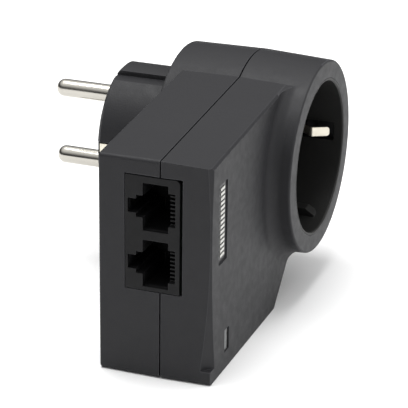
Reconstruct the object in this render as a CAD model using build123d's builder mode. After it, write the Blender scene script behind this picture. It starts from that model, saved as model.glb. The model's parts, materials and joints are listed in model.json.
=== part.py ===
from build123d import *
import os
from math import cos, radians, sin, tan

os.makedirs("parts", exist_ok=True)

# A plug-through mains adapter: a flat box with two network jacks in its left side,
# joined to a round head that carries a pin plug behind and an earthed socket in front.
#
# Frame: the origin is the centre of the plug's pin face. +Y runs along the pins into
# the wall, +Z is up and +X is the head's side. A "depth" is a distance forwards from
# the pin face, so a point at depth d lies at Y = -d.

# ---- driving dimensions, mm -----------------------------------------------------------

# Mains plug and socket (4.8 mm pins, 19 mm apart, in a 17.5 mm deep well)
pin_radius = 2.4
pin_length = 19.0
pin_offset = 9.5
nose_radius = 18.4
nose_depth = 17.5
well_radius = 19.8
well_depth = 17.5
pin_hole_radius = 2.75

# Housing, as seen from the front
left_x = -66.0
bottom_z = -36.4
top_left_z = 19.4
top_slope = 3.9
cut_corner_x = -17.3
cut_slope = 43.5
head_radius = 26.0
corner_radius = 1.0
wall = 2.0

# Housing, from back to front
head_back = nose_depth
box_back = head_back + 3.5
parting = 36.7
box_front = 49.4
ring_face = 55.1
rear_draft = 0.8
front_draft = 2.5
parting_gap = 0.4
lip_height = 1.6
edge_round = 0.5
clearance = 0.1
level_cut = 0.7

# Socket insert
insert_radius = 21.8
rim_radius = 20.5
rim_height = 1.6
well_floor = ring_face - well_depth
floor_thickness = 2.2
insert_back = well_floor - floor_thickness

# Network jacks, one above the other
jack_centres = {"upper": 7.4, "lower": -6.9}
jack_pitch = jack_centres["upper"] - jack_centres["lower"]
panel_z = (-13.8, 15.05)
panel_depth = (27.85, 41.5)
panel_thickness = 1.3
panel_corner_radius = 1.0
jack_inner_x = -47.5
contact_pitch = 1.02
contact_count = 8

# Circuit boards
board_thickness = 1.6
board_left_x = left_x + 2.6
board_bottom_z = bottom_z + 2.4
board_top_z = 16.6
main_board_back = 24.0
main_board_front = main_board_back + board_thickness
main_board_right_x = -20.5
data_board_back = 41.6
data_board_front = data_board_back + board_thickness
data_board_right_x = -23.5

# Housing screws: three in the box, two in the head
box_screws = [(-44.0, 15.3), (-60.2, -30.6), (-23.0, -30.8)]
head_screw_radius = 23.3
head_screws = [
    (head_screw_radius * cos(radians(a)), head_screw_radius * sin(radians(a)))
    for a in (-45, 45)
]
screw_radius = 1.25
screw_head_radius = 2.0
screw_head_height = 1.6
screw_length = 14.0
box_boss_radius = 3.0
head_boss_radius = 2.3
screw_recess = 3.0

# ---- helpers --------------------------------------------------------------------------


def facing(depth):
    """Sketch plane across the object: local x is X, local y is Z, normal is forwards."""
    return Plane.XZ.offset(depth)


def save(piece, name):
    """Label a finished piece and write it to its STEP file."""
    piece.part.label = name
    export_step(piece.part, f"parts/{name}.step")


def draw_box(inset=0.0, mode=Mode.ADD, drop=0.0):
    """Box outline with its sloping top and cut corner, closed inside the head."""

    def top_z(x):
        return top_left_z + (x - left_x) * tan(radians(top_slope)) - inset

    low_z = bottom_z + inset - drop
    drop_x = drop / tan(radians(cut_slope))
    corner = Vector(cut_corner_x - inset * tan(radians(cut_slope / 2)) - drop_x, low_z)
    cut_end = corner + 21.0 * Vector(cos(radians(cut_slope)), sin(radians(cut_slope)))
    Polygon(
        (left_x + inset, low_z),
        corner,
        cut_end,
        (-9.0, top_z(-9.0)),
        (left_x + inset, top_z(left_x + inset)),
        align=None,
        mode=mode,
    )


def draw_housing(inset=0.0):
    """Whole housing outline: the box and the round head."""
    draw_box(inset)
    Circle(head_radius - inset)


def cylinder_run(points, radius, start, end, mode=Mode.ADD):
    """Cylinders along Y at (x, z) points, between two depths, in the current part."""
    with BuildSketch(facing(start)) as profile:
        with Locations(*points):
            Circle(radius)
    extrude(profile.sketch, amount=end - start, mode=mode)


def block(x_range, z_range, depth_range, mode=Mode.ADD):
    """Rectangular block given by its limits, in the current part."""
    with BuildSketch(facing(depth_range[0])) as profile:
        with Locations(((x_range[0] + x_range[1]) / 2, (z_range[0] + z_range[1]) / 2)):
            Rectangle(x_range[1] - x_range[0], z_range[1] - z_range[0])
    extrude(profile.sketch, amount=depth_range[1] - depth_range[0], mode=mode)


def block_at(centre, size, depth_range, mode=Mode.ADD):
    """Rectangular block given by its (x, z) centre and its (x, z) size."""
    block(
        (centre[0] - size[0] / 2, centre[0] + size[0] / 2),
        (centre[1] - size[1] / 2, centre[1] + size[1] / 2),
        depth_range,
        mode,
    )


# ---- housing --------------------------------------------------------------------------

rear_rim = parting - parting_gap / 2
front_rim = parting + parting_gap / 2
pins_at = [(0, pin_offset), (0, -pin_offset)]
standing_plane = Plane.XY.offset(bottom_z)


def lower_left_edge(shell):
    """Edge along Y where the left side meets the level lower side."""
    lower_edges = shell.edges().filter_by(lambda e: abs(e.center().Z - bottom_z) < 0.01)
    return lower_edges.sort_by(Axis.X)[0]


# Rear shell: tapers backwards, with the head standing proud of the box
with BuildPart() as rear_shell:
    with BuildSketch(facing(rear_rim)):
        draw_box(drop=level_cut)
        fillet(vertices().group_by(Axis.X)[0].sort_by(Axis.Z)[-1], corner_radius)
    extrude(amount=-(rear_rim - box_back), taper=rear_draft)
    split(bisect_by=standing_plane, keep=Keep.TOP)
    fillet(lower_left_edge(rear_shell), corner_radius)
    with BuildSketch(facing(rear_rim)):
        Circle(head_radius)
    extrude(amount=-(rear_rim - head_back), taper=rear_draft)
    back_edges = rear_shell.faces().filter_by(Plane.XZ).sort_by(Axis.Y)[-1].edges()
    fillet(back_edges, edge_round)
    box_back_face = rear_shell.faces().filter_by(Plane.XZ).sort_by(Axis.Y)[-2]
    outer_back_edges = box_back_face.edges().filter_by(lambda e: e.center().X < -27)
    fillet(outer_back_edges, edge_round)
    # hollow inside, with a rebate for the front shell's lip
    with BuildSketch(facing(rear_rim)):
        draw_box(wall)
    extrude(amount=-(rear_rim - box_back - wall), mode=Mode.SUBTRACT)
    with BuildSketch(facing(rear_rim)):
        Circle(head_radius - wall)
    extrude(amount=-(rear_rim - head_back - wall), mode=Mode.SUBTRACT)
    with BuildSketch(facing(rear_rim)):
        draw_housing(wall / 2)
    extrude(amount=-lip_height, mode=Mode.SUBTRACT)
    # screw bosses and board rests
    cylinder_run(box_screws, box_boss_radius, box_back + wall, rear_rim)
    cylinder_run(head_screws, head_boss_radius, head_back + wall, rear_rim)
    cylinder_run([(0, 0)], insert_radius + clearance, insert_back - 0.1, rear_rim, Mode.SUBTRACT)
    board_rests = [(-58, 12), (-58, -12), (-33, -32), (-29.5, 11)]
    cylinder_run(board_rests, 1.5, box_back + wall, main_board_back)
    # openings: plug nose, screws and jack panel
    cylinder_run([(0, 0)], nose_radius + clearance, head_back, head_back + wall, Mode.SUBTRACT)
    cylinder_run(box_screws, screw_radius + clearance, box_back, rear_rim, Mode.SUBTRACT)
    cylinder_run(head_screws, screw_radius + clearance, head_back, rear_rim, Mode.SUBTRACT)
    head_hole_radius = screw_head_radius + clearance
    cylinder_run(box_screws, head_hole_radius, box_back, box_back + screw_recess, Mode.SUBTRACT)
    cylinder_run(head_screws, head_hole_radius, head_back, head_back + screw_recess, Mode.SUBTRACT)
    block(
        (left_x - 1, left_x + wall + 0.5),
        (panel_z[0] - 0.2, panel_z[1] + 0.3),
        (panel_depth[0] - 0.2, rear_rim),
        Mode.SUBTRACT,
    )
save(rear_shell, "rear_shell")

# Front shell: carries the ring, tapers forwards and has a long curved bevel on its left
bevel_foot = 2.5
bevel_crown = 0.3
bevel_spread = 1.2
bevel_crown_z = 0.0
bevel_stop_z = bottom_z + 3.5
cove_radius = 3.0
badge_recess = {"x": (-60.5, -55.0), "z": (-7.2, 13.1), "depth": 0.45}
window = {"x": (-55.6, -52.5), "z": (-32.0, -26.0)}
front_inside = box_front - wall
front_inset = (box_front - front_rim) * tan(radians(front_draft))
front_left_x = left_x + front_inset


def cone_radius(depth):
    """Radius of the round head's tapering side at a depth."""
    return head_radius - (depth - front_rim) * tan(radians(front_draft))


# Cove: the concave blend where the ring rises from the front plane
with BuildPart() as cove:
    foot = (cone_radius(box_front) + cove_radius, -box_front)
    head = (cone_radius(box_front + cove_radius), -box_front - cove_radius)
    hollow = (
        foot[0] - cove_radius * sin(radians(45)),
        head[1] + cove_radius * sin(radians(45)),
    )
    with BuildSketch(Plane.XY):
        with BuildLine():
            ThreePointArc(head, hollow, foot)
            Polyline(
                foot,
                (foot[0], -box_front + 1.0),
                (head[0] - 1.0, -box_front + 1.0),
                (head[0] - 1.0, head[1]),
                head,
            )
        make_face()
    revolve(axis=Axis.Y)
    with BuildSketch(facing(box_front - 1.0)):
        draw_box(front_inset + 0.05)
    extrude(amount=1.0 + cove_radius, mode=Mode.INTERSECT)

with BuildPart() as front_shell:
    with BuildSketch(facing(front_rim)):
        draw_box(drop=level_cut)
        fillet(vertices().group_by(Axis.X)[0].sort_by(Axis.Z)[-1], corner_radius)
    extrude(amount=box_front - front_rim, taper=front_draft)
    split(bisect_by=standing_plane, keep=Keep.TOP)
    fillet(lower_left_edge(front_shell), corner_radius)
    # narrow bevel along the sloping top edge
    slope_direction = Vector(cos(radians(top_slope)), 0, sin(radians(top_slope)))
    top_front_corner = (front_left_x, 0, top_left_z - front_inset)
    with BuildSketch(Plane(origin=top_front_corner, x_dir=(0, 1, 0), z_dir=slope_direction)):
        Polygon(
            (-box_front - 1.0, 1.0),
            (-box_front - 1.0, -1.0 - edge_round),
            (-box_front + 1.0 + edge_round, 1.0),
            align=None,
        )
    extrude(amount=-front_left_x, mode=Mode.SUBTRACT)
    with BuildSketch(facing(front_rim)):
        Circle(head_radius)
    extrude(amount=ring_face - front_rim, taper=front_draft)
    add(cove)
    # bevel: a shallow curve cut across the left front edge, ending in a small step
    bevel_run = bevel_crown_z - bevel_stop_z
    across = Vector(bevel_spread, -1, 0).normalized()
    outward = Vector(-1, -bevel_spread, 0).normalized()
    foot_cut = bevel_foot * across.X
    crown_cut = bevel_crown * across.X
    bevel_plane = Plane(
        origin=(front_left_x, -box_front, bevel_crown_z), x_dir=outward, z_dir=across
    )
    with BuildSketch(bevel_plane):
        with BuildLine():
            ThreePointArc((-foot_cut, -bevel_run), (-crown_cut, 0), (-foot_cut, bevel_run))
            Polyline((-foot_cut, bevel_run), (3, bevel_run), (3, -bevel_run), (-foot_cut, -bevel_run))
        make_face()
    extrude(amount=8.0, both=True, mode=Mode.SUBTRACT)
    ring_edges = front_shell.edges().filter_by(GeomType.CIRCLE).group_by(Axis.Y)[0]
    fillet(ring_edges, edge_round)
    # hollow inside, with bosses for the screws
    with BuildSketch(facing(front_rim)):
        draw_box(wall)
        Circle(head_radius - wall)
    extrude(amount=front_inside - front_rim, mode=Mode.SUBTRACT)
    cylinder_run(box_screws, box_boss_radius, rear_rim, front_inside)
    cylinder_run(head_screws, head_boss_radius, front_rim, front_inside)
    # lip that closes the parting gap from inside
    lip_root = 0.5
    with BuildSketch(facing(front_rim + lip_root)):
        draw_housing(wall / 2 + clearance)
        draw_box(wall - clearance, Mode.SUBTRACT)
        Circle(head_radius - wall + clearance, mode=Mode.SUBTRACT)
    extrude(amount=-(lip_root + parting_gap + lip_height - clearance))
    cylinder_run(
        head_screws, head_boss_radius + 0.3, rear_rim - lip_height, rear_rim, Mode.SUBTRACT
    )
    # openings: socket insert, screws, jack panel, badge and status window
    rim_start = ring_face - rim_height
    cylinder_run([(0, 0)], insert_radius + clearance, rear_rim - 3, rim_start, Mode.SUBTRACT)
    cylinder_run([(0, 0)], rim_radius + clearance, rim_start, ring_face, Mode.SUBTRACT)
    pilot_reach = screw_recess + screw_length + 6.0
    cylinder_run(box_screws, screw_radius, rear_rim, box_back + pilot_reach, Mode.SUBTRACT)
    cylinder_run(head_screws, screw_radius, front_rim, head_back + pilot_reach + 1.0, Mode.SUBTRACT)
    block(
        (left_x - 1, left_x + wall + 0.5),
        (panel_z[0] - 0.2, panel_z[1] + 0.3),
        (rear_rim - 3, panel_depth[1] + 0.7),
        Mode.SUBTRACT,
    )
    badge_depths = (box_front - badge_recess["depth"], box_front)
    block(badge_recess["x"], badge_recess["z"], badge_depths, Mode.SUBTRACT)
    block(window["x"], window["z"], (front_inside, box_front), Mode.SUBTRACT)
save(front_shell, "front_shell")

# ---- mains plug -----------------------------------------------------------------------

nose_wall_end = 8.0
nose_hollow_radius = 15.8
flange_radius = 20.8
flange_depths = (head_back + wall + 0.05, head_back + wall + 2.0)
groove_floor_z = 16.5
groove_height = 4.0
pin_post_radius = 4.8
rib_half_width = 4.2
groove_end_x = 9.0
earth_recess_x = 17.15
earth_recess_half_width = 2.6
pin_shank_radius = 1.9
pin_collar_radius = 3.4
pin_collar_depths = (10.0, 13.4)

# Plug body: the nose that enters the wall socket, hollow behind, with a seating flange
with BuildPart() as plug_body:
    cylinder_run([(0, 0)], nose_radius, 0, flange_depths[0])
    front_edge = plug_body.edges().filter_by(GeomType.CIRCLE).sort_by(Axis.Y)[-1]
    chamfer(front_edge, 0.9)
    cylinder_run([(0, 0)], flange_radius, flange_depths[0], flange_depths[1])
    cylinder_run([(0, 0)], nose_hollow_radius, nose_wall_end, flange_depths[1], Mode.SUBTRACT)
    cylinder_run(pins_at, pin_post_radius, nose_wall_end, pin_collar_depths[1])
    cylinder_run(pins_at, pin_shank_radius + 0.05, 0, pin_collar_depths[1], Mode.SUBTRACT)
    cylinder_run(pins_at, pin_collar_radius + 0.05, *pin_collar_depths, Mode.SUBTRACT)
    # two grooves beside a central rib, above and below, and an earth recess at each side
    for x_side in (-1, 1):
        for z_side in (-1, 1):
            groove_x = x_side * (rib_half_width + groove_end_x) / 2
            groove_z = z_side * (groove_floor_z + groove_height / 2)
            block_at(
                (groove_x, groove_z),
                (groove_end_x - rib_half_width, groove_height),
                (0, head_back - 0.3),
                Mode.SUBTRACT,
            )
        block_at(
            (x_side * (earth_recess_x + 3.0), 0),
            (6.0, 2 * earth_recess_half_width),
            (0, flange_depths[1]),
            Mode.SUBTRACT,
        )
save(plug_body, "plug_body")

# Plug pins: round-ended, on a slimmer shank held by a collar inside the nose
for side, name in ((1, "upper"), (-1, "lower")):
    with BuildPart() as plug_pin:
        at = [(0, side * pin_offset)]
        cylinder_run(at, pin_radius, -pin_length, 0)
        tip_edge = plug_pin.edges().filter_by(GeomType.CIRCLE).sort_by(Axis.Y)[-1]
        fillet(tip_edge, pin_radius - 0.2)
        cylinder_run(at, pin_shank_radius, 0, pin_collar_depths[0])
        cylinder_run(at, pin_collar_radius, *pin_collar_depths)
    save(plug_pin, f"plug_pin_{name}")

# Plug earth contacts: flat strips in the side recesses, running back to the earth strap
earth_strip_x = (17.2, 18.0)
earth_strip_depths = (0.8, 30.3)
for side, name in ((-1, "left"), (1, "right")):
    with BuildPart() as plug_earth:
        strip_x = sorted(side * x for x in earth_strip_x)
        block(strip_x, (-2.2, 2.2), earth_strip_depths)
    save(plug_earth, f"plug_earth_{name}")

# ---- socket ---------------------------------------------------------------------------

lug_centre_x = 6.3
lug_width = 3.2
lug_inner_z = 17.0
clip_slot_half_width = 2.6
clip_slot_end = 52.5
pivot_radius = 1.6
shutter_depths = (33.7, 35.1)
carrier_plate = (32.0, 33.4)
barrel_back = 23.2
carrier_screws_at = [(-11.0, 11.0), (11.0, -11.0)]

# Socket insert: the well, its guide lugs, pin holes and the slots for the earth clips
with BuildPart() as socket_insert:
    cylinder_run([(0, 0)], insert_radius, insert_back, ring_face - rim_height - 0.05)
    cylinder_run([(0, 0)], rim_radius, insert_back, ring_face)
    cylinder_run([(0, 0)], well_radius, well_floor, ring_face, Mode.SUBTRACT)
    mouth = socket_insert.edges().filter_by(GeomType.CIRCLE).group_by(Axis.Y)[0]
    chamfer(mouth.sort_by(SortBy.RADIUS)[0], 0.3)
    for x_side in (-1, 1):
        for z_side in (-1, 1):
            with BuildSketch(Plane.YZ.offset(x_side * lug_centre_x)):
                Polygon(
                    (-well_floor, z_side * lug_inner_z),
                    (-(ring_face - 5.2), z_side * lug_inner_z),
                    (-(ring_face - 2.8), z_side * (lug_inner_z + 1.6)),
                    (-(ring_face - 2.8), z_side * 20.0),
                    (-well_floor, z_side * 20.0),
                    align=None,
                )
            extrude(amount=lug_width / 2, both=True)
    for x_side in (-1, 1):
        block_at(
            (x_side * 21.0, 0),
            (3.0, 2 * clip_slot_half_width),
            (insert_back, clip_slot_end),
            Mode.SUBTRACT,
        )
    cylinder_run(pins_at, pin_hole_radius, insert_back, well_floor, Mode.SUBTRACT)
    hole_rims = (
        socket_insert.edges()
        .filter_by(GeomType.CIRCLE)
        .filter_by(lambda e: abs(e.radius - pin_hole_radius) < 0.01)
        .group_by(Axis.Y)[0]
    )
    chamfer(hole_rims, 0.7)
    cylinder_run([(0, 0)], pivot_radius, carrier_plate[0] + 0.4, insert_back)
    cylinder_run(carrier_screws_at, 1.9, carrier_plate[1], insert_back)
    cylinder_run(carrier_screws_at, 0.9, carrier_plate[1], insert_back + 1.2, Mode.SUBTRACT)
save(socket_insert, "socket_insert")

# Shutter: a two-winged disc that turns about the insert's pivot to bare the pin holes
with BuildPart() as socket_shutter:
    with BuildSketch(facing(shutter_depths[0])):
        Circle(4.2)
        Rectangle(6.4, 24.8)
        Circle(pivot_radius + 0.08, mode=Mode.SUBTRACT)
    extrude(amount=shutter_depths[1] - shutter_depths[0])
    wing_ends = socket_shutter.edges().filter_by(Axis.Y)
    fillet(wing_ends.filter_by(lambda e: abs(e.center().Z) > 12), 1.0)
save(socket_shutter, "socket_shutter")

# Contact carrier: a plate behind the shutter with a barrel for each pin contact
with BuildPart() as contact_carrier:
    cylinder_run([(0, 0)], 18.4, *carrier_plate)
    cylinder_run(pins_at, 4.6, barrel_back, carrier_plate[0])
    with BuildSketch(facing(carrier_plate[1])):
        Circle(18.4)
        Circle(17.6, mode=Mode.SUBTRACT)
    extrude(amount=insert_back - carrier_plate[1] - 0.05)
    cylinder_run(pins_at, 3.3, barrel_back, 31.6, Mode.SUBTRACT)
    cylinder_run(pins_at, 2.9, 31.6, carrier_plate[1], Mode.SUBTRACT)
    cylinder_run([(0, 0)], 4.4, *carrier_plate, Mode.SUBTRACT)
    cylinder_run(carrier_screws_at, 1.15, *carrier_plate, Mode.SUBTRACT)
save(contact_carrier, "contact_carrier")

# Carrier screws: two small pan-head screws into the insert's posts
with BuildPart() as carrier_screws:
    cylinder_run(carrier_screws_at, 1.9, carrier_plate[0] - 1.3, carrier_plate[0])
    cylinder_run(carrier_screws_at, 0.85, carrier_plate[0], insert_back + 0.8)
save(carrier_screws, "carrier_screws")

# Shutter spring: a short torsion coil around the pivot, with a turned-out leg at each end
spring_wire = 0.2
spring_radius = 2.5
with BuildPart() as shutter_spring:
    with BuildLine():
        coil_start = (0, -carrier_plate[0] - 0.3, 0)
        coil = Helix(0.45, 0.9, spring_radius, center=coil_start, direction=(0, -1, 0))
    with BuildSketch(Plane(origin=coil @ 0, z_dir=coil % 0)):
        Circle(spring_wire)
    sweep()
    for end in (0, 1):
        leg_start = coil @ end
        outwards = Vector(leg_start.X, 0, leg_start.Z).normalized()
        with BuildSketch(Plane(origin=leg_start, z_dir=outwards)):
            Circle(spring_wire)
        extrude(amount=1.6)
save(shutter_spring, "shutter_spring")

# Pin contacts: slotted sleeves, closed behind against the plug pins, with a wire tab
sleeve_radii = (2.5, 3.2)
sleeve_depths = (pin_collar_depths[1], 31.5)
tab_depths = (21.9, 22.7)
tab_end_x = -8.0
for side, name in ((1, "upper"), (-1, "lower")):
    with BuildPart() as socket_contact:
        at = [(0, side * pin_offset)]
        cylinder_run(at, sleeve_radii[1], *sleeve_depths)
        z_tab = (side * pin_offset - 1.5, side * pin_offset + 1.5)
        block((tab_end_x, 0), z_tab, tab_depths)
        cylinder_run(at, sleeve_radii[0], sleeve_depths[0] + 1.0, sleeve_depths[1], Mode.SUBTRACT)
        block_at((0, side * pin_offset), (0.8, 8.0), (24.0, sleeve_depths[1]), Mode.SUBTRACT)
        block_at((0, side * pin_offset), (8.0, 0.8), (24.0, sleeve_depths[1]), Mode.SUBTRACT)
    save(socket_contact, f"socket_contact_{name}")

# Earth clips: bent strips standing in the well's side slots, sprung about their feet
clip_thickness = 0.5
clip_half_width = 1.25
clip_tip_round = 0.8
clip_foot = (20.4, 31.6)
clip_points = [clip_foot, (20.4, 42.8), (17.0, 47.0), (19.3, 51.4)]
for side, name in ((-1, "left"), (1, "right")):
    with BuildPart() as earth_clip:
        with BuildSketch(Plane.XY.offset(-clip_half_width)):
            with BuildLine() as clip_line:
                FilletPolyline(*[(side * x, -d) for x, d in clip_points], radius=0.8)
            trace(line_width=clip_thickness)
        extrude(amount=2 * clip_half_width)
        tip_edges = earth_clip.faces().sort_by(Axis.Y)[0].edges().filter_by(GeomType.LINE)
        fillet(tip_edges.group_by(Axis.Z)[0] + tip_edges.group_by(Axis.Z)[-1], clip_tip_round)
    save(earth_clip, f"earth_clip_{name}")

# Earth strap: joins the plug's earth strips and the feet of the clips
strap_depths = (30.4, 31.2)
with BuildPart() as earth_strap:
    block((-20.8, 20.8), (-2.4, 2.4), strap_depths)
    cylinder_run([(0, 0)], 1.6, *strap_depths, Mode.SUBTRACT)
save(earth_strap, "earth_strap")

# ---- network jacks --------------------------------------------------------------------

latch_notch = {"width": 3.6, "depth": (28.45, 30.6)}
latch_step = {"width": 5.6, "depth": (30.55, 32.3)}
jack_mouth = {"width": 12.0, "depth": (32.25, 38.7)}
comb_mouth = {"width": 8.4, "depth": (38.65, 40.45)}


def jack_opening(z_centre, parts):
    """Stepped jack opening, drawn in a sketch whose local axes are Y and Z."""
    for step in parts:
        back, front = step["depth"]
        with Locations((-(back + front) / 2, z_centre)):
            Rectangle(front - back, step["width"])


# Jack panel: the face plate around both jacks, with one rounded corner
with BuildPart() as jack_panel:
    panel_x = left_x + 0.1
    panel_centre = (-sum(panel_depth) / 2, sum(panel_z) / 2)
    with BuildSketch(Plane.YZ.offset(panel_x)):
        with Locations(panel_centre):
            Rectangle(panel_depth[1] - panel_depth[0], panel_z[1] - panel_z[0])
        top_front = vertices().group_by(Axis.Y)[-1].sort_by(Axis.X)[0]
        fillet(top_front, panel_corner_radius)
    extrude(amount=panel_thickness)
    with BuildSketch(Plane.YZ.offset(panel_x)):
        for z_centre in jack_centres.values():
            jack_opening(z_centre, (latch_notch, latch_step, jack_mouth, comb_mouth))
    extrude(amount=panel_thickness, mode=Mode.SUBTRACT)
save(jack_panel, "jack_panel")

housing_start_x = left_x + 0.1 + panel_thickness + 0.05
housing_depths = (28.0, 41.5)
cavity_end_x = -51.5
slot_floor_depth = 41.15
slot_width = 0.64
contact_offsets = [(i - (contact_count - 1) / 2) * contact_pitch for i in range(contact_count)]

for name, z_centre in jack_centres.items():
    # Jack housing: one moulded box with the plug cavity and a comb of contact slots
    with BuildPart() as jack_housing:
        with BuildSketch(Plane.YZ.offset(housing_start_x)):
            with Locations((-sum(housing_depths) / 2, z_centre)):
                Rectangle(housing_depths[1] - housing_depths[0], jack_pitch - 0.2)
        extrude(amount=jack_inner_x - housing_start_x)
        with BuildSketch(Plane.YZ.offset(housing_start_x)):
            jack_opening(z_centre, (latch_notch, latch_step, jack_mouth))
            for offset_z in contact_offsets:
                slot = {"width": slot_width, "depth": (38.65, slot_floor_depth)}
                jack_opening(z_centre + offset_z, (slot,))
        extrude(amount=cavity_end_x - housing_start_x, mode=Mode.SUBTRACT)
    save(jack_housing, f"jack_housing_{name}")

    # Jack contacts: eight spring wires, each hooked at the mouth and rising into the cavity
    with BuildPart() as jack_contacts:
        for offset_z in contact_offsets:
            with BuildSketch(Plane.XY.offset(z_centre + offset_z - 0.18)):
                with BuildLine():
                    FilletPolyline(
                        (-61.9, -40.75), (-63.0, -40.75), (-62.7, -40.0), (-52.9, -37.2), radius=0.22
                    )
                trace(line_width=0.3)
            extrude(amount=0.36)
    save(jack_contacts, f"jack_contacts_{name}")

# Solder tails of both jacks: two staggered rows of pins through the network board
tail_rows_x = (-50.0, -48.6)
tails_at = [
    (tail_rows_x[i % 2], z_centre + contact_offsets[i])
    for z_centre in jack_centres.values()
    for i in range(contact_count)
]
tail_radius = 0.25
with BuildPart() as jack_solder_tails:
    cylinder_run(tails_at, tail_radius, housing_depths[1] + 0.02, data_board_front + 0.8)
save(jack_solder_tails, "jack_solder_tails")

# ---- badge and status window ----------------------------------------------------------

badge_plate_size = (4.4, 19.0)
badge_centre = (-58.0, 3.3)
badge_floor = box_front - badge_recess["depth"]
bar_count = 15
bar_pitch = 1.2
bar_size = (2.6, 0.7)

with BuildPart() as badge_plate:
    block_at(badge_centre, badge_plate_size, (badge_floor, badge_floor + 0.15))
save(badge_plate, "badge_plate")

# Badge bars: a plain ladder of raised bars where a name would be
with BuildPart() as badge_bars:
    with BuildSketch(facing(badge_floor + 0.15)):
        with Locations(badge_centre):
            with GridLocations(0, bar_pitch, 1, bar_count):
                Rectangle(*bar_size)
    extrude(amount=0.2)
save(badge_bars, "badge_bars")

# Light pipe: a clear bar from the status lamp to the window
with BuildPart() as light_pipe:
    pipe_centre = (sum(window["x"]) / 2, sum(window["z"]) / 2)
    block_at(pipe_centre, (2.9, 6.0), (data_board_front + 1.2, box_front - 0.5))
    block_at(pipe_centre, (4.4, 7.4), (front_inside - 1.2, front_inside - 0.05))
save(light_pipe, "light_pipe")

# ---- circuit boards -------------------------------------------------------------------

lead_radius = 0.35
lead_hole_radius = 0.5
boss_hole_radius = box_boss_radius + 0.3
corner_notch = 6.9

# Lead positions of the through-hole pieces on the power board, as (x, z) points
choke_centre = (-50.6, -23.8)
varistor_centres = [(-39.9, -24.0), (-34.1, -24.0)]
fuse_centre = (-27.2, -20.5)
x_capacitor_centre = (-42.9, -0.5)
transformer_centre = (-33.4, -6.5)
bulk_capacitor_centre = (-33.0, 7.4)
output_capacitor_centres = [(-24.4, -5.2), (-24.4, 5.2)]
rectifier_centre = (-24.2, 13.4)
header_centre = (-33.4, 14.6)
leads = {
    "choke": [(choke_centre[0] + x, choke_centre[1] + z) for x in (-3, 3) for z in (-6, 6)],
    "varistors": [(x, z + dz) for x, z in varistor_centres for dz in (-2.5, 2.5)],
    "fuse": [(fuse_centre[0], fuse_centre[1] + dz) for dz in (-2.54, 2.54)],
    "x_capacitor": [(x_capacitor_centre[0], x_capacitor_centre[1] + dz) for dz in (-7.5, 7.5)],
    "transformer": [
        (transformer_centre[0] + x, transformer_centre[1] + 2.5 * i)
        for x in (-4.5, 4.5)
        for i in (-1, 0, 1)
    ],
    "bulk_capacitor": [(bulk_capacitor_centre[0] + x, bulk_capacitor_centre[1]) for x in (-2.5, 2.5)],
    "output_capacitors": [(x, z + dz) for x, z in output_capacitor_centres for dz in (-1.25, 1.25)],
    "rectifier": [(rectifier_centre[0] + 1.6 * i, rectifier_centre[1]) for i in (-1.5, -0.5, 0.5, 1.5)],
}
all_leads = [point for points in leads.values() for point in points]
lead_end = main_board_back - 0.7


def draw_board(right_x):
    """Board outline in the current sketch, cleared for the screw bosses."""
    with Locations(((board_left_x + right_x) / 2, (board_bottom_z + board_top_z) / 2)):
        Rectangle(right_x - board_left_x, board_top_z - board_bottom_z)
    with Locations(box_screws[0]):
        Circle(boss_hole_radius, mode=Mode.SUBTRACT)
    with Locations(*box_screws[1:]):
        Rectangle(corner_notch, corner_notch, mode=Mode.SUBTRACT)


def drop_leads(points, start=main_board_front):
    """Round leads from a piece's underside through the power board."""
    cylinder_run(points, lead_radius, lead_end, start + 0.2)


# Power board: holds the mains parts, with its parts facing forwards
with BuildPart() as main_board:
    with BuildSketch(facing(main_board_back)):
        draw_board(main_board_right_x)
        with Locations(*all_leads):
            Circle(lead_hole_radius, mode=Mode.SUBTRACT)
    extrude(amount=board_thickness)
save(main_board, "main_board")

# Network board: holds the jacks behind and the signal parts in front
with BuildPart() as data_board:
    with BuildSketch(facing(data_board_back)):
        draw_board(data_board_right_x)
        with Locations(*tails_at):
            Circle(0.4, mode=Mode.SUBTRACT)
    extrude(amount=board_thickness)
save(data_board, "data_board")

# Board link: an upright header that joins the two boards
with BuildPart() as board_link_header:
    block_at(header_centre, (11.0, 2.5), (main_board_front + 0.02, data_board_back - 0.02))
save(board_link_header, "board_link_header")

# ---- power board parts ----------------------------------------------------------------

seat = main_board_front + 0.2

# Fuse: a small round can on two leads
with BuildPart() as fuse:
    cylinder_run([fuse_centre], 4.2, seat, seat + 7.6)
    fillet(fuse.edges().filter_by(GeomType.CIRCLE).group_by(Axis.Y)[0], 0.6)
    drop_leads(leads["fuse"])
save(fuse, "fuse")

# Varistors: two coated discs standing on edge
varistor_radius = 6.2
with BuildPart() as varistors:
    for x, z in varistor_centres:
        with BuildSketch(Plane.YZ.offset(x - 2.2)):
            with Locations((-(seat + varistor_radius + 0.6), z)):
                Circle(varistor_radius)
        extrude(amount=4.4)
    rims = varistors.edges().filter_by(GeomType.CIRCLE)
    fillet(rims, 1.2)
    cylinder_run(leads["varistors"], lead_radius, lead_end, seat + 3.0)
save(varistors, "varistors")

# Thermal fuse: a thin tube held across the tops of the varistors
with BuildPart() as thermal_fuse:
    with BuildSketch(Plane.YZ.offset(-42.4)):
        with Locations((-(seat + 2 * varistor_radius + 1.95), varistor_centres[0][1])):
            Circle(1.3)
    extrude(amount=10.0)
save(thermal_fuse, "thermal_fuse")

# Suppression capacitor: an upright box
with BuildPart() as x_capacitor:
    block_at(x_capacitor_centre, (6.6, 17.6), (seat, seat + 13.0))
    fillet(x_capacitor.edges().filter_by(Axis.Y), 0.5)
    drop_leads(leads["x_capacitor"])
save(x_capacitor, "x_capacitor")

# Choke: a ring core with two wound halves
core_radii = (4.2, 7.2)
core_depths = (seat + 1.2, seat + 7.0)
with BuildPart() as choke_core:
    cylinder_run([choke_centre], core_radii[1], *core_depths)
    cylinder_run([choke_centre], core_radii[0], *core_depths, Mode.SUBTRACT)
save(choke_core, "choke_core")

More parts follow.
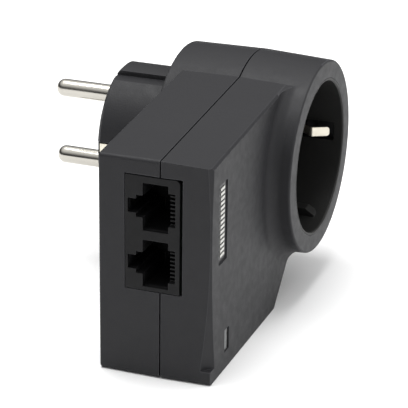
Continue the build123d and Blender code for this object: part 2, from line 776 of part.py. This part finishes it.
wire_radius = 0.45
turns_per_side = 6
with BuildPart() as choke_windings:
    core_height = core_depths[1] - core_depths[0]
    turn_middle = (core_radii[0] + core_radii[1]) / 2
    turn_width = core_radii[1] - core_radii[0] + 2 * wire_radius + 0.1
    turn_height = core_height + 2 * wire_radius + 0.1
    for side in (0, 180):
        for turn in range(turns_per_side):
            angle = radians(side + (turn - (turns_per_side - 1) / 2) * 20)
            middle = Vector(
                choke_centre[0] + turn_middle * cos(angle),
                -sum(core_depths) / 2,
                choke_centre[1] + turn_middle * sin(angle),
            )
            radial = (cos(angle), 0, sin(angle))
            along_core = (-sin(angle), 0, cos(angle))
            inner_width = turn_width - 2 * wire_radius + 0.1
            inner_height = turn_height - 2 * wire_radius + 0.1
            with BuildSketch(Plane(origin=middle, x_dir=radial, z_dir=along_core)):
                RectangleRounded(turn_width + 2 * wire_radius, turn_height + 2 * wire_radius, 0.9)
                RectangleRounded(inner_width, inner_height, 0.15, mode=Mode.SUBTRACT)
            extrude(amount=wire_radius, both=True)
save(choke_windings, "choke_windings")

# Rectifier: a flat upright package on four leads in a row
with BuildPart() as bridge_rectifier:
    block_at(rectifier_centre, (7.0, 2.8), (seat + 0.6, seat + 8.0))
    chamfer(bridge_rectifier.edges().filter_by(Axis.Y).group_by(Axis.X)[-1], 0.5)
    cylinder_run(leads["rectifier"], lead_radius, lead_end, seat + 1.0)
save(bridge_rectifier, "bridge_rectifier")


def can_capacitor(centre, radius, height):
    """Upright can with a crimp groove near its foot and a rounded top."""
    cylinder_run([centre], radius, seat, seat + 1.6)
    cylinder_run([centre], radius - 0.3, seat + 1.6, seat + 2.3)
    cylinder_run([centre], radius, seat + 2.3, seat + height)


# Storage capacitor and the two smaller output capacitors
with BuildPart() as bulk_capacitor:
    can_capacitor(bulk_capacitor_centre, 4.8, 14.6)
    fillet(bulk_capacitor.edges().filter_by(GeomType.CIRCLE).group_by(Axis.Y)[0], 0.5)
    drop_leads(leads["bulk_capacitor"])
save(bulk_capacitor, "bulk_capacitor")

with BuildPart() as output_capacitors:
    for centre in output_capacitor_centres:
        can_capacitor(centre, 3.0, 9.0)
    fillet(output_capacitors.edges().filter_by(GeomType.CIRCLE).group_by(Axis.Y)[0], 0.4)
    drop_leads(leads["output_capacitors"])
save(output_capacitors, "output_capacitors")

# Power transformer: an E-shaped core around a wound bobbin on six pins
bobbin_depths = (seat, seat + 11.0)
with BuildPart() as transformer_bobbin:
    block_at(transformer_centre, (11.0, 9.6), (bobbin_depths[0], bobbin_depths[0] + 2.0))
    block_at(transformer_centre, (7.0, 8.0), (bobbin_depths[0] + 2.0, bobbin_depths[1]))
    drop_leads(leads["transformer"])
save(transformer_bobbin, "transformer_bobbin")

with BuildPart() as transformer_core:
    block_at(transformer_centre, (5.0, 12.4), (seat + 2.1, seat + 12.6))
    block_at(transformer_centre, (5.1, 8.1), (seat + 2.0, seat + 11.05), Mode.SUBTRACT)
save(transformer_core, "transformer_core")

# Flat packages soldered to the power board behind the jacks
with BuildPart() as switching_chip:
    block((-56.0, -49.5), (2.0, 8.6), (main_board_front + 0.02, main_board_front + 1.8))
save(switching_chip, "switching_chip")

with BuildPart() as optocoupler:
    block((-56.0, -51.4), (-5.4, -0.8), (main_board_front + 0.02, main_board_front + 2.0))
save(optocoupler, "optocoupler")

# Safety capacitor: a small coated disc
with BuildPart() as y_capacitor:
    with BuildSketch(Plane.XY.offset(-13.0)):
        with Locations((-24.2, -(seat + 4.4))):
            Circle(3.6)
    extrude(amount=-2.6)
    fillet(y_capacitor.edges().filter_by(GeomType.CIRCLE), 0.8)
save(y_capacitor, "y_capacitor")

# ---- network board parts --------------------------------------------------------------

chip_seat = data_board_front + 0.02

# Line coupling transformer: a small potted cube
with BuildPart() as coupling_transformer:
    block_at((-33.0, -22.0), (8.0, 8.0), (chip_seat, chip_seat + 3.8))
save(coupling_transformer, "coupling_transformer")

# Jack magnetics: one flat module in front of each jack
with BuildPart() as network_magnetics:
    for z_centre in jack_centres.values():
        block_at((-57.0, z_centre), (9.0, 12.6), (chip_seat, chip_seat + 3.0))
save(network_magnetics, "network_magnetics")

chip_centre = (-36.5, 3.0)
with BuildPart() as comms_chip:
    block_at(chip_centre, (11.0, 11.0), (chip_seat, chip_seat + 1.0))
save(comms_chip, "comms_chip")

# Shield: an open-bottomed tin lid over the communication chip
with BuildPart() as shield_can:
    block_at(chip_centre, (16.0, 16.0), (chip_seat, chip_seat + 2.6))
    block_at(chip_centre, (15.4, 15.4), (chip_seat, chip_seat + 2.3), Mode.SUBTRACT)
save(shield_can, "shield_can")

with BuildPart() as memory_chip:
    block_at((-36.5, -12.0), (8.0, 5.2), (chip_seat, chip_seat + 1.2))
save(memory_chip, "memory_chip")

with BuildPart() as crystal:
    block_at((-46.5, -12.0), (5.0, 3.2), (chip_seat, chip_seat + 1.0))
save(crystal, "crystal")

with BuildPart() as status_led:
    block_at(pipe_centre, (1.6, 3.2), (chip_seat, chip_seat + 0.9))
save(status_led, "status_led")

# ---- wires ----------------------------------------------------------------------------

mains_wire_radius = 1.1
wire_depth = tab_depths[1] + mains_wire_radius + 0.02


def wire(points, radius):
    """Insulated wire along straight runs joined by arcs."""
    with BuildLine() as route:
        FilletPolyline(*points, radius=2.6)
    path = route.line
    with BuildSketch(Plane(origin=path @ 0, z_dir=path % 0)) as section:
        Circle(radius)
    sweep(section.sketch, path=path)


# Line and neutral wires: from each contact's tab round to the power board's edge
for side, name in ((1, "line_wire"), (-1, "neutral_wire")):
    z = side * pin_offset
    with BuildPart() as mains_wire:
        route = [
            (tab_end_x + 1.0, -wire_depth, z),
            (-15.0, -wire_depth, z),
            (-18.0, -29.5, z),
            (-22.8, -29.5, z),
            (-22.8, -main_board_front - 0.05, z),
        ]
        wire(route, mains_wire_radius)
    save(mains_wire, name)

# Earth link: a bent tab from the earth strap to the power board
with BuildPart() as earth_link:
    with BuildSketch(Plane.XY.offset(-1.5)):
        with BuildLine():
            link_depth = strap_depths[0] - 0.35
            Polyline((-18.6, -link_depth), (-22.0, -link_depth), (-22.0, -main_board_front - 0.05))
        trace(line_width=0.6)
    extrude(amount=3.0)
save(earth_link, "earth_link")

# Housing screws: pan heads sunk in the rear shell, driven into the front shell
with BuildPart() as housing_screws:
    for points, back in ((box_screws, box_back), (head_screws, head_back)):
        start = back + screw_recess
        cylinder_run(points, screw_head_radius, start - screw_head_height, start)
        cylinder_run(points, screw_radius - 0.05, start, start + screw_length)
        for angle in (0, 90):
            with BuildSketch(facing(start - screw_head_height)):
                with Locations(*points):
                    Rectangle(2.4, 0.5, rotation=angle)
            extrude(amount=0.8, mode=Mode.SUBTRACT)
save(housing_screws, "housing_screws")
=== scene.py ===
import json
from math import cos, radians, sin

import bpy
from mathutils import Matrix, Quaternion, Vector


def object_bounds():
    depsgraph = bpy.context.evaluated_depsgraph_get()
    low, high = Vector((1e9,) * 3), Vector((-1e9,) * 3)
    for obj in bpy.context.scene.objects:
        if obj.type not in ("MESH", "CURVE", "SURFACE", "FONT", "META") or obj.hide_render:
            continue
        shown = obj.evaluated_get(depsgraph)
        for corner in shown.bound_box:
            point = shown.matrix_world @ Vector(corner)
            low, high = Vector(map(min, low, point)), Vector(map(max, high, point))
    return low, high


# A plug-through mains adapter on a white studio floor. All lengths are in metres.

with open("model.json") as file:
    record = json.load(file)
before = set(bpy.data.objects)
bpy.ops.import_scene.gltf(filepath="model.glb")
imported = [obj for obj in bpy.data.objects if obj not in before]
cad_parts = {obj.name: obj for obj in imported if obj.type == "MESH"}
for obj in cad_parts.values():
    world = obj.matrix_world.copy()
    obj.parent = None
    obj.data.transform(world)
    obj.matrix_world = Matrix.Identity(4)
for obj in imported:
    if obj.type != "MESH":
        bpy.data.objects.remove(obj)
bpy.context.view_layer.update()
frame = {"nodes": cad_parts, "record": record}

# ---- view and light -------------------------------------------------------------------

VIEW_AZIMUTH = -69.7
VIEW_ELEVATION = 22.1
VIEW_ROLL = 0.7
VIEW_DISTANCE = 0.55
LENS = 181.4
SENSOR = 36.0
AIM = Vector((0.0014, -0.0226, -0.0187))

FLOOR_SIZE = 4.0
FLOOR_GAP = 0.0001
FLOOR_COLOUR = (0.93, 0.93, 0.93)

# Surroundings: brightness below and above two heights on the unit sphere of directions
HORIZON_TOP = 0.3
OVERHEAD_START = 0.8
HORIZON_GREY = 0.08
OVERHEAD_GREY = 1.1

# Soft lights: place, width and height in metres, and power in watts
SOFTBOXES = {
    "top_light": ((0.0, 0.12, 1.3), (0.8, 0.8), 16.0),
    "front_light": ((0.3, -1.1, 0.6), (0.9, 0.9), 5.0),
    "side_light": ((-0.9, -0.5, 0.6), (0.4, 0.8), 0.2),
}

# Noise textures spend most of their area between these two values
NOISE_LOW = 0.3
NOISE_HIGH = 0.7

# Painted edge highlights: how much lighter the edges are painted, and the agreement between the
# rounded and the flat normal at which the painted highlight starts and is complete
EDGE_HIGHLIGHT_LIFT = 3.0
EDGE_HIGHLIGHT_START = 0.995
EDGE_HIGHLIGHT_FULL = 0.85


# ---- shader helpers -------------------------------------------------------------------


class Shader:
    """A node material being built: adds nodes and links them with short calls."""

    def __init__(self, name, colour, roughness, metallic=0.0):
        self.material = bpy.data.materials.new(name)
        self.material.use_nodes = True
        self.tree = self.material.node_tree
        self.surface = self.tree.nodes["Principled BSDF"]
        self.surface.inputs["Base Color"].default_value = (*colour, 1.0)
        self.surface.inputs["Roughness"].default_value = roughness
        self.surface.inputs["Metallic"].default_value = metallic
        self.place = self.add("ShaderNodeTexCoord").outputs["Object"]
        self.normal = None
        self.colour = None

    def add(self, kind, **values):
        """Add a node and set its attributes or its input sockets by name."""
        node = self.tree.nodes.new(kind)
        for key, value in values.items():
            socket = key.replace("_", " ").title()
            if hasattr(node, key):
                setattr(node, key, value)
            else:
                node.inputs[socket].default_value = value
        return node

    def link(self, output, target):
        """Join an output socket to an input socket."""
        self.tree.links.new(output, target)

    def noise(self, scale, detail=3.0, roughness=0.6, stretch=None):
        """Noise over the piece's own place, stretched along an axis when asked."""
        texture = self.add("ShaderNodeTexNoise", scale=scale, detail=detail, roughness=roughness)
        place = self.place
        if stretch:
            mapping = self.add("ShaderNodeMapping", scale=stretch)
            self.link(place, mapping.inputs["Vector"])
            place = mapping.outputs["Vector"]
        self.link(place, texture.inputs["Vector"])
        return texture.outputs["Fac"]

    def ramp(self, factor, low, high):
        """Map a 0 to 1 factor onto the range from low to high."""
        node = self.add("ShaderNodeMapRange")
        node.inputs["From Min"].default_value = NOISE_LOW
        node.inputs["From Max"].default_value = NOISE_HIGH
        node.inputs["To Min"].default_value = low
        node.inputs["To Max"].default_value = high
        self.link(factor, node.inputs["Value"])
        return node.outputs["Result"]

    def vary_roughness(self, factor, low, high):
        """Let the roughness wander between two values."""
        self.link(self.ramp(factor, low, high), self.surface.inputs["Roughness"])

    def vary_colour(self, factor, first, second):
        """Let the base colour wander between two colours."""
        mix = self.add("ShaderNodeMix", data_type="RGBA")
        mix.inputs["A"].default_value = (*first, 1.0)
        mix.inputs["B"].default_value = (*second, 1.0)
        self.link(factor, mix.inputs["Factor"])
        self.colour = mix.outputs["Result"]
        self.link(self.colour, self.surface.inputs["Base Color"])

    def round_edges(self, radius):
        """Shade sharp edges as if rounded to a radius."""
        bevel = self.add("ShaderNodeBevel", samples=6, radius=radius)
        self.normal = bevel.outputs["Normal"]
        self.link(self.normal, self.surface.inputs["Normal"])

    def paint_edge_highlights(self, colour):
        """Mix in a lighter colour where the rounded normal leaves the flat one: a painted
        highlight along sharp edges.
        """
        flat = self.add("ShaderNodeNewGeometry").outputs["True Normal"]
        agreement = self.add("ShaderNodeVectorMath", operation="DOT_PRODUCT")
        self.link(self.normal, agreement.inputs[0])
        self.link(flat, agreement.inputs[1])
        # Painted highlight: how far the lighter edge colour reaches in from each edge
        edge_highlight = self.add("ShaderNodeMapRange")
        edge_highlight.inputs["From Min"].default_value = EDGE_HIGHLIGHT_START
        edge_highlight.inputs["From Max"].default_value = EDGE_HIGHLIGHT_FULL
        self.link(agreement.outputs["Value"], edge_highlight.inputs["Value"])
        mix = self.add("ShaderNodeMix", data_type="RGBA")
        mix.inputs["B"].default_value = (*colour, 1.0)
        self.link(edge_highlight.outputs["Result"], mix.inputs["Factor"])
        self.link(self.colour, mix.inputs["A"])
        self.link(mix.outputs["Result"], self.surface.inputs["Base Color"])

    def bump(self, factor, height):
        """Raise the surface by a factor, in metres, on top of any earlier bump."""
        node = self.add("ShaderNodeBump", strength=1.0, distance=height)
        self.link(factor, node.inputs["Height"])
        if self.normal:
            self.link(self.normal, node.inputs["Normal"])
        self.normal = node.outputs["Normal"]
        self.link(self.normal, self.surface.inputs["Normal"])


def shade(colour, factor):
    """A colour made darker or lighter by a factor."""
    return tuple(min(1.0, channel * factor) for channel in colour)


def grained_plastic(name, colour, roughness, grain=0.00004, edge=0.0003):
    """Moulded plastic with a fine spark-eroded grain, softly handled patches and edges painted
    lighter as a highlight.
    """
    m = Shader(name, colour, roughness)
    m.surface.inputs["Specular IOR Level"].default_value = 0.2
    patches = m.noise(35.0, detail=4.0)
    m.vary_colour(patches, shade(colour, 0.9), shade(colour, 1.12))
    m.vary_roughness(m.noise(420.0, detail=5.0), roughness - 0.05, roughness + 0.07)
    m.round_edges(edge)
    # Painted highlight: sharp edges painted lighter, standing in for light caught on the rounded
    # edges
    m.paint_edge_highlights(shade(colour, EDGE_HIGHLIGHT_LIFT))
    m.bump(m.noise(2600.0, detail=2.0), grain)
    return m.material


def smooth_plastic(name, colour, roughness, edge=0.0002):
    """Glossier moulded plastic with faint flow marks."""
    m = Shader(name, colour, roughness)
    m.vary_colour(m.noise(60.0), shade(colour, 0.92), shade(colour, 1.1))
    m.vary_roughness(m.noise(300.0, detail=4.0), roughness - 0.06, roughness + 0.08)
    m.round_edges(edge)
    m.bump(m.noise(900.0), 0.00001)
    return m.material


def worn_metal(name, colour, roughness, stretch, edge=0.0001):
    """Plated metal with fine drawn lines and small rubbed patches."""
    m = Shader(name, colour, roughness, metallic=1.0)
    lines = m.noise(900.0, detail=3.0, stretch=stretch)
    m.vary_colour(m.noise(140.0), shade(colour, 0.88), shade(colour, 1.08))
    m.vary_roughness(lines, roughness - 0.06, roughness + 0.12)
    m.round_edges(edge)
    m.bump(lines, 0.000004)
    return m.material


def circuit_board(name, colour):
    """Solder mask with a faint pattern of covered copper tracks."""
    m = Shader(name, colour, 0.35)
    tracks = m.add("ShaderNodeTexBrick", scale=260.0)
    tracks.inputs["Color1"].default_value = (1.0, 1.0, 1.0, 1.0)
    tracks.inputs["Color2"].default_value = (0.6, 0.6, 0.6, 1.0)
    tracks.inputs["Mortar"].default_value = (0.0, 0.0, 0.0, 1.0)
    m.link(m.place, tracks.inputs["Vector"])
    m.vary_colour(tracks.outputs["Fac"], colour, shade(colour, 1.7))
    m.vary_roughness(m.noise(500.0), 0.28, 0.42)
    m.bump(tracks.outputs["Fac"], 0.00002)
    return m.material


def clear_plastic(name, colour):
    """Cloudy clear plastic for the light pipe."""
    m = Shader(name, colour, 0.3)
    m.surface.inputs["Transmission Weight"].default_value = 0.35
    m.surface.inputs["IOR"].default_value = 1.49
    m.vary_colour(m.noise(200.0), shade(colour, 0.85), shade(colour, 1.1))
    m.vary_roughness(m.noise(600.0), 0.22, 0.4)
    m.round_edges(0.0002)
    return m.material


# ---- materials, one per record slot ---------------------------------------------------

ALONG_PINS = (1.0, 0.05, 1.0)
ALONG_STRIP = (1.0, 0.1, 1.0)
EVEN = (1.0, 1.0, 1.0)

MATERIALS = {
    "housing_plastic": lambda n: grained_plastic(n, (0.022, 0.022, 0.024), 0.5),
    "socket_plastic": lambda n: grained_plastic(n, (0.013, 0.013, 0.0125), 0.5),
    "inner_plastic": lambda n: grained_plastic(n, (0.045, 0.045, 0.047), 0.5),
    "jack_plastic": lambda n: grained_plastic(n, (0.006, 0.006, 0.0065), 0.5, grain=0.00002),
    "badge_dark": lambda n: smooth_plastic(n, (0.03, 0.03, 0.031), 0.4),
    "part_black": lambda n: smooth_plastic(n, (0.02, 0.02, 0.021), 0.45),
    "ferrite": lambda n: grained_plastic(n, (0.05, 0.05, 0.052), 0.6),
    "fuse_brown": lambda n: smooth_plastic(n, (0.16, 0.07, 0.035), 0.35),
    "varistor_blue": lambda n: smooth_plastic(n, (0.03, 0.12, 0.35), 0.25),
    "film_yellow": lambda n: smooth_plastic(n, (0.72, 0.52, 0.06), 0.35),
    "can_sleeve": lambda n: smooth_plastic(n, (0.02, 0.03, 0.07), 0.25),
    "led_white": lambda n: smooth_plastic(n, (0.8, 0.8, 0.72), 0.3),
    "wire_brown": lambda n: smooth_plastic(n, (0.2, 0.09, 0.04), 0.35),
    "wire_blue": lambda n: smooth_plastic(n, (0.03, 0.15, 0.5), 0.35),
    "pin_nickel": lambda n: worn_metal(n, (0.52, 0.50, 0.455), 0.13, ALONG_PINS),
    "contact_metal": lambda n: worn_metal(n, (0.72, 0.68, 0.58), 0.3, ALONG_STRIP),
    "spring_steel": lambda n: worn_metal(n, (0.55, 0.55, 0.56), 0.3, EVEN),
    "screw_steel": lambda n: worn_metal(n, (0.5, 0.5, 0.51), 0.35, EVEN),
    "gold_contact": lambda n: worn_metal(n, (0.80, 0.58, 0.22), 0.25, EVEN),
    "tinned_lead": lambda n: worn_metal(n, (0.66, 0.66, 0.67), 0.3, EVEN),
    "badge_silver": lambda n: worn_metal(n, (0.60, 0.60, 0.57), 0.42, EVEN),
    "copper_wire": lambda n: worn_metal(n, (0.55, 0.22, 0.09), 0.3, EVEN),
    "tin_shield": lambda n: worn_metal(n, (0.66, 0.66, 0.65), 0.35, EVEN),
    "board_green": lambda n: circuit_board(n, (0.02, 0.13, 0.055)),
    "clear_pipe": lambda n: clear_plastic(n, (0.35, 0.36, 0.36)),
}


def dress_nodes():
    """Give every CAD node the material of its record slot."""
    made = {}
    for entry in frame["record"]["subparts"]:
        slot = entry["material_slot"]
        if slot not in made:
            made[slot] = MATERIALS[slot](slot)
        node = frame["nodes"][entry["node"]]
        for material_slot in node.material_slots:
            material_slot.material = made[slot]


# ---- stage ----------------------------------------------------------------------------


def view_direction():
    """Unit vector from the aim point to the camera."""
    azimuth = radians(VIEW_AZIMUTH)
    elevation = radians(VIEW_ELEVATION)
    return Vector(
        (sin(azimuth) * cos(elevation), -cos(azimuth) * cos(elevation), sin(elevation))
    )


def add_camera():
    """Long-lens camera at the viewing angle."""
    data = bpy.data.cameras.new("camera")
    data.lens = LENS
    data.sensor_width = SENSOR
    data.clip_end = 20.0
    camera = bpy.data.objects.new("camera", data)
    bpy.context.collection.objects.link(camera)
    camera.location = AIM + VIEW_DISTANCE * view_direction()
    level = (-view_direction()).to_track_quat("-Z", "Y")
    roll = Quaternion((0.0, 0.0, 1.0), radians(VIEW_ROLL))
    camera.rotation_euler = (level @ roll).to_euler()
    bpy.context.scene.camera = camera


def add_softbox(name, place, size, power):
    """Rectangular area light that points at the object."""
    data = bpy.data.lights.new(name, "AREA")
    data.shape = "RECTANGLE"
    data.size = size[0]
    data.size_y = size[1]
    data.energy = power
    light = bpy.data.objects.new(name, data)
    bpy.context.collection.objects.link(light)
    light.location = place
    light.rotation_euler = (AIM - Vector(place)).to_track_quat("-Z", "Y").to_euler()


def add_floor():
    """Plain pale floor at the object's lowest point."""
    half = FLOOR_SIZE / 2
    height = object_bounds()[0][2] - FLOOR_GAP
    mesh = bpy.data.meshes.new("floor")
    corners = [
        (-half, -half, height),
        (half, -half, height),
        (half, half, height),
        (-half, half, height),
    ]
    mesh.from_pydata(corners, [], [(0, 1, 2, 3)])
    floor = bpy.data.objects.new("floor", mesh)
    bpy.context.collection.objects.link(floor)
    look = Shader("floor", FLOOR_COLOUR, 0.9)
    look.vary_roughness(look.noise(12.0), 0.85, 0.95)
    mesh.materials.append(look.material)


def add_surroundings():
    """White overhead that falls off to a dark horizon, as in a studio tent."""
    world = bpy.data.worlds.new("studio")
    world.use_nodes = True
    tree = world.node_tree
    place = tree.nodes.new("ShaderNodeTexCoord")
    split = tree.nodes.new("ShaderNodeSeparateXYZ")
    fade = tree.nodes.new("ShaderNodeMapRange")
    fade.inputs["From Min"].default_value = HORIZON_TOP
    fade.inputs["From Max"].default_value = OVERHEAD_START
    fade.inputs["To Min"].default_value = HORIZON_GREY
    fade.inputs["To Max"].default_value = OVERHEAD_GREY
    tree.links.new(place.outputs["Generated"], split.inputs["Vector"])
    tree.links.new(split.outputs["Z"], fade.inputs["Value"])
    tree.links.new(fade.outputs["Result"], tree.nodes["Background"].inputs["Strength"])
    tree.nodes["Background"].inputs["Color"].default_value = (1.0, 1.0, 1.0, 1.0)
    bpy.context.scene.world = world


def light_room():
    """Soft lights, shown without any film curve."""
    for name, (place, size, power) in SOFTBOXES.items():
        add_softbox(name, place, size, power)
    bpy.context.scene.view_settings.view_transform = "Standard"


dress_nodes()
add_floor()
add_camera()
add_surroundings()
light_room()
